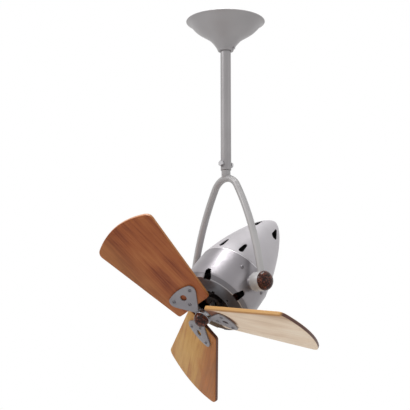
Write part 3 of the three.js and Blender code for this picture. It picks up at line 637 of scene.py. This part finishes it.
padScrew = {"radius": 3.2, "spots": {"a": (53.2, 20.6), "b": (53.2, -20.6), "c": (33.0, 0.0)}}


def bladeFrame(index):
    spin = turn(rotor["first"] + 120 * index, "Z")
    return headFrame @ shift(0, 0, rotor["s"]) @ spin @ turn(rotor["pitch"], "X")


# scale of each layer of grain along, across and through the board
grain = {"streaks": (4.5, 46.0, 46.0), "clouds": (11.0, 24.0, 24.0), "fine": (9.0, 260.0, 260.0),
         "pores": (16.0, 900.0, 900.0)}
# places on the board in metres, as a material has them
# where the painted shadow about the pad lies
padShadowPatch = {"spot": (0.037, 0.004, 0.0), "reach": (0.030, 0.037), "side": (-0.016, -0.004)}
giltRim = {"width": 0.0042, "soft": 0.0004, "end": (0.196, 0.200)}
edgeChange = (0.196, 0.202)


def woodLook(index, tones):
    look = Look("blade_%d_look" % (index + 1), tones["middle"], 0.45, coat=0.05, coatRoughness=0.3,
                shine=tones["shine"])
    board, seed = bladeFrame(index), tones["seed"]
    streaks = look.noise(1.0, 4.0, 0.6, 0.9, look.placed(board, grain["streaks"], (seed, 0, 0)))
    clouds = look.noise(1.0, 3.0, 0.5, 0.6, look.placed(board, grain["clouds"], (0, seed, 0)))
    fine = look.noise(1.0, 4.0, 0.6, 0.3, look.placed(board, grain["fine"], (seed, 0, 0)))
    pores = look.noise(1.0, 3.0, 0.7, 0.0, look.placed(board, grain["pores"]))
    tone = streaks * 0.42 + clouds * 0.30 + fine * 0.30 + pores * 0.08
    place = look.placed(board)
    along, across, height = look.axes(place)
    colour = tone.colours((0.42, tones["dark"]), (0.68, tones["light"]), (0.54, tones["middle"]))
    sideDark = [value * 0.62 for value in tones["side"]]
    sideTone = tone.colours((0.42, sideDark), (0.66, tones["side"]))
    drift = across + (clouds - 0.5) * 0.07
    colour = look.mix(drift.between(*tones["sideFrom"]), colour, sideTone)
    if "root" in tones:  # a painted shadow about the pad, in the root tone, and a gilt rim along one side
        spots = {0: place, 1: padShadowPatch["spot"]}
        reach = look.add("ShaderNodeVectorMath", {"operation": "DISTANCE"}, spots, "Value")
        padShadeMask = reach.between(*padShadowPatch["reach"], 1.0, 0.0) * across.between(*padShadowPatch["side"])
        slant = across - along * sideSlope
        rimFrom = (blade["rootHalf"] - sideSlope * blade["rootR"]) * mm - giltRim["width"]
        rim = slant.between(rimFrom - giltRim["soft"], rimFrom + giltRim["soft"])
        rim = rim * along.between(*giltRim["end"], 1.0, 0.0)
        colour = look.mix(rim, look.mix(padShadeMask, colour, tones["root"]), tones["rim"])
    edge = look.mix(along.between(*edgeChange), tones["edgeRoot"], tones["edgeTip"])
    underFace = height.between(-blade["edge"] * mm, (1 - blade["edge"]) * mm, 1.0, 0.0)
    overBack = height.between((0.2 - blade["thick"]) * mm, (1.2 - blade["thick"]) * mm)
    look.set("Base Color", look.mix(underFace * overBack, colour, edge))
    look.set("Roughness", pores.between(0.3, 0.7, 0.42, 0.56))
    return look.bump(fine * 0.5 + pores, 0.12, 0.0003)


# half the outline runs from the tip's middle, round the corner and down the straight side
def bladeOutline():
    root = (blade["rootR"], blade["rootHalf"])
    corner = (blade["cornerR"], blade["cornerHalf"])
    tipControl = 2 * blade["tipR"] - corner[0]
    tip = bend((corner[0], -corner[1]), (tipControl, 0), corner, 100)
    near, far = [tuple(a + (b - a) * share for a, b in zip(root, corner))
                 for share in (blade["sideStart"], blade["sideEnd"])]
    half = tip[50:94] + bend(tip[93], corner, far)[1:]
    half += bend(near, root, (root[0], root[1] - blade["rootIn"]))
    return half + [(x, -y) for x, y in half[:0:-1]]


def padOutline():
    cornerR, cornerHalf = pad["tip"] - 4.3, pad["half"] * 0.9
    shoulder = (pad["tip"] * 0.66, pad["half"] * 0.94)
    control = (pad["tip"] * 0.82, pad["half"] * 1.2)
    half = bend((6, 3), (14, 3), (17.5, 5.6), 6) + bend(shoulder, control, (cornerR, cornerHalf), 14)
    tip = bend((cornerR, cornerHalf), (2 * pad["tip"] - cornerR, 0), (cornerR, -cornerHalf), 24)
    return half + tip[1:-1] + [(x, -y) for x, y in half[::-1]]


for index, tones in enumerate(woods):
    bm = bmesh.new()
    plateInto(bm, [bladeOutline()], -blade["thick"], 0, blade["edge"], bladeFrame(index))
    number = index + 1
    skin = newPiece("bladeSkin_%d" % number, bm, "rotor", ["blade_%d" % number])
    dress(skin, woodLook(index, tones))
    for tag, (r, s) in padScrew["spots"].items():
        recess = turn(37 * index + 20 * s, "Z")  # each stands at an angle of its own
        seat = bladeFrame(index) @ shift(r, s, pad["gap"] + pad["thick"] + 0.05)
        mark = "%d%s" % (number, tag)
        screwHead("padScrew_" + mark, seat @ recess, padScrew["radius"], "rotor",
                  "blade_screw_" + mark)
print("blades made")

# spider: three cast pads and a polished hub
hub = {"radius": 14.6, "back": 6.0, "front": 4.6, "soft": 1.6}


def hubProfile():
    angles = [math.pi / 2 * i / 6 for i in range(7)]
    rim = [(hub["soft"] * (1 - math.cos(a)), hub["soft"] * (1 - math.sin(a))) for a in angles]
    low = [(hub["radius"] - dx, -hub["back"] + dz) for dz, dx in rim]
    high = [(hub["radius"] - dx, hub["front"] - dz) for dz, dx in rim[::-1]]
    return [(0, -hub["back"])] + low + high + [(0, hub["front"])]


bm = bmesh.new()
padLoops = [padOutline(), circle(pad["hole"], 0, pad["holeR"])]
for index in range(len(woods)):
    plateInto(bm, padLoops, pad["gap"], pad["gap"] + pad["thick"], pad["edge"], bladeFrame(index))
castLook = paintLook("cast_pad_look", (0.24, 0.225, 0.24), (0.31, 0.295, 0.31), 0.42, 0.5, 1400.0)
dress(newPiece("spiderSkin", bm, "rotor", ["blade_spider"]), castLook)
bm = bmesh.new()
revolve(bm, hubProfile(), 96, headFrame @ shift(0, 0, rotor["s"]))
hubLook = metalLook("polished_hub_look", (0.30, 0.295, 0.31), 0.24)
dress(newPiece("hubSkin", bm, "rotor", ()), hubLook)
print("spider made")

# finishes of the nodes that stay
kept = (
    (metalLook("zinc_look", (0.42, 0.42, 0.43), 0.45), ["hanger_bracket"]),
    (metalLook("nylon_look", (0.02, 0.02, 0.022), 0.55, 0.0),
     ["hanger_ball", "friction_washer_left", "friction_washer_right", "run_capacitor"]),
    (steelLook, ["hanger_pin", "canopy_set_screw", "cross_bolt", "cross_bolt_washer",
                 "cross_nut_washer", "cross_nut", "front_bearing", "rear_bearing",
                 "pivot_stud_left", "pivot_stud_right", "rotor_shaft"]),
    (metalLook("iron_look", (0.010, 0.005, 0.005), 0.5, 0.1),
     ["motor_cradle", "stator_stack", "front_end_bracket", "rear_end_bracket", "rotor_core"]),
    (metalLook("winding_look", (0.13, 0.035, 0.02), 0.4, 0.4, 900.0), ["front_winding", "rear_winding"]),
)
for look, names in kept:
    for name in names:
        dress(nodes[name], look)
print("kept nodes dressed")

# studio, in metres, with the photograph's camera
studio = {"world": 0.5, "floorZ": -1.75, "aim": (0, 0, -0.45)}
softboxes = {
    "keyBox": {"spot": (-0.9, -2.2, 1.0), "size": (0.7, 0.7), "power": 16},
    "rightBox": {"spot": (2.4, 0.9, 0.4), "size": (1.0, 1.6), "power": 3},
    "topBox": {"spot": (-0.1, -0.1, 1.7), "size": (1.0, 1.0), "power": 45},
}
view = {"lens": 115.84, "spot": (1.72731, -1.55311, -0.79385), "heading": 48.97249,
        "lookUp": 10.94935}

world = bpy.data.worlds.new("studio")
bpy.context.scene.world = world
world.use_nodes = True
sky = Nodes(world.node_tree)
sky.tree.nodes.remove(sky.tree.nodes["Background"])
cameraRay, glossyRay = [sky.add("ShaderNodeLightPath", output="Is %s Ray" % kind)
                        for kind in ("Camera", "Glossy")]
dim, white = [sky.add("ShaderNodeBackground", None, {"Color": (1, 1, 1, 1), "Strength": strength})
              for strength in (studio["world"], 1.0)]
blend = sky.add("ShaderNodeMixShader", None, {0: cameraRay.math("MAXIMUM", glossyRay), 1: dim, 2: white})
sky.tree.links.new(blend.socket, sky.tree.nodes["World Output"].inputs["Surface"])

bm = bmesh.new()
bmesh.ops.create_grid(bm, x_segments=2, y_segments=2, size=4.0)
bmesh.ops.translate(bm, vec=(0, 0, studio["floorZ"]), verts=bm.verts)
floor = newPiece("floor", bm)
dress(floor, Look("floor_look", (0.92, 0.92, 0.92), 0.7))

for name, box in softboxes.items():
    data = bpy.data.lights.new(name, "AREA")
    data.shape = "RECTANGLE"
    data.size, data.size_y = box["size"]
    data.energy = box["power"]
    lamp = bpy.data.objects.new(name, data)
    bpy.context.scene.collection.objects.link(lamp)
    lamp.location = box["spot"]
    lamp.rotation_euler = (Vector(studio["aim"]) - lamp.location).to_track_quat("-Z", "Y").to_euler()

camera = bpy.data.objects.new("camera", bpy.data.cameras.new("camera"))
bpy.context.scene.collection.objects.link(camera)
bpy.context.scene.camera = camera
camera.data.sensor_width = 36
camera.data.lens = view["lens"]
camera.matrix_world = turn(view["heading"], "Z") @ turn(90 + view["lookUp"], "X")
camera.location = view["spot"]
bpy.context.scene.view_settings.view_transform = "Standard"
print("studio made")
